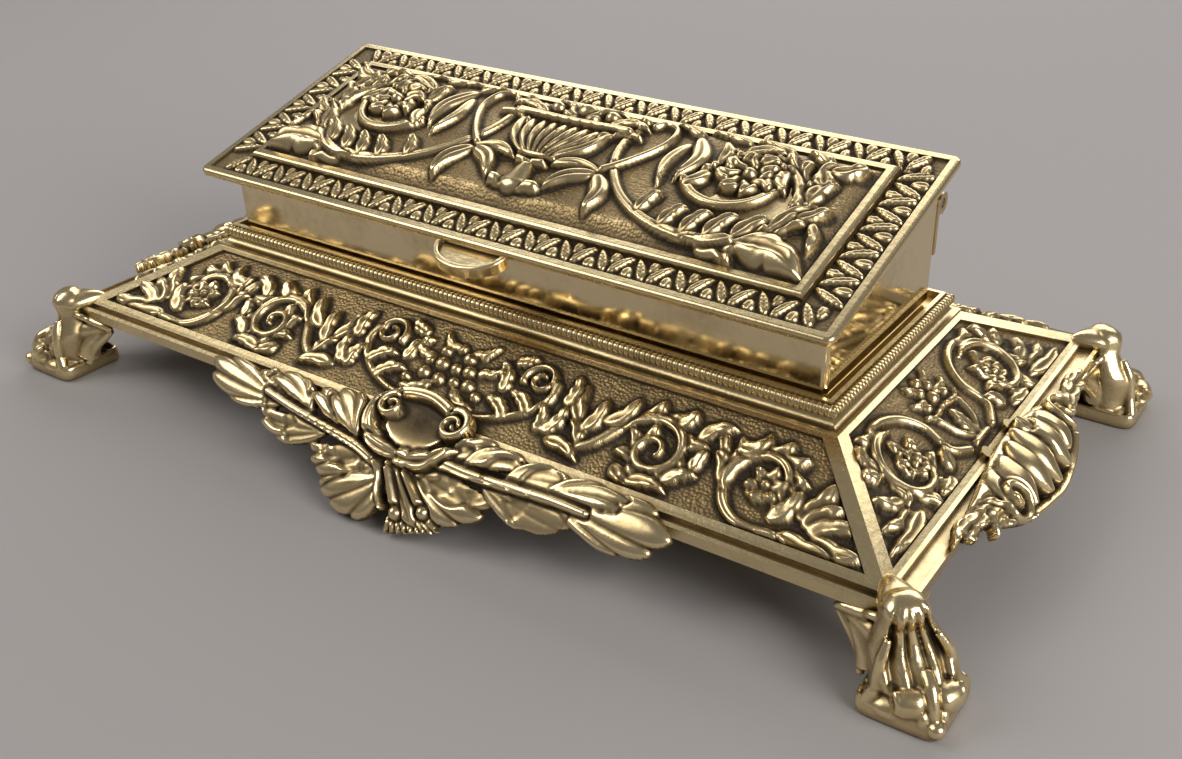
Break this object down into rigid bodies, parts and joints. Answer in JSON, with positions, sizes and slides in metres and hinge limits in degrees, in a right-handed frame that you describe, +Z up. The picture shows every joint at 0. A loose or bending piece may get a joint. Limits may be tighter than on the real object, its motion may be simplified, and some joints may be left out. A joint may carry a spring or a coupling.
{
  "type": "stamp box",
  "caption": "Brass desk box for postage stamps: sloping hinged lid, compartments with curved ramps, on a footed stand with applied leaf mounts.",
  "frame": {"origin": "on the surface the feet stand on, under the middle of the stand", "axes": "+Z up, +X along the long side, -Y towards the front with the thumb tab"},
  "size_m": [0.1808, 0.1022, 0.0487],
  "materials": {
    "cast_brass": "cast, chased, antiqued and rubbed bright on the high points",
    "sheet_brass": "mirror polished sheet",
    "fastener_brass": "turned, plain",
    "pin_steel": "drawn wire"
  },
  "bodies": {
    "stand": {"stand_skirt": "cast_brass", "lip_moulding": "cast_brass", "box_tray": "sheet_brass", "foot_front_left": "cast_brass", "foot_front_right": "cast_brass", "foot_back_left": "cast_brass", "foot_back_right": "cast_brass", "foot_screws": "fastener_brass", "front_apron": "cast_brass", "back_apron": "cast_brass", "right_shell": "cast_brass", "left_shell": "cast_brass", "mount_rivets": "fastener_brass", "box_walls": "sheet_brass", "box_floor": "sheet_brass", "divider_1": "sheet_brass", "divider_2": "sheet_brass", "stamp_ramp_1": "sheet_brass", "stamp_ramp_2": "sheet_brass", "stamp_ramp_3": "sheet_brass", "box_screws": "fastener_brass", "hinge_box_leaf": "sheet_brass", "hinge_pin": "pin_steel", "box_leaf_rivets": "fastener_brass"},
    "lid": {"lid_plate": "cast_brass", "lid_backing": "sheet_brass", "thumb_tab": "cast_brass", "hinge_lid_leaf": "sheet_brass", "lid_leaf_rivets": "fastener_brass"}
  },
  "joints": [
    {"name": "lid_hinge", "type": "hinge", "parent": "stand", "child": "lid", "pos_m": [0, 0.0195, 0.04037], "axis": [-1, 0, 0], "range_deg": [0, 110]}
  ]
}
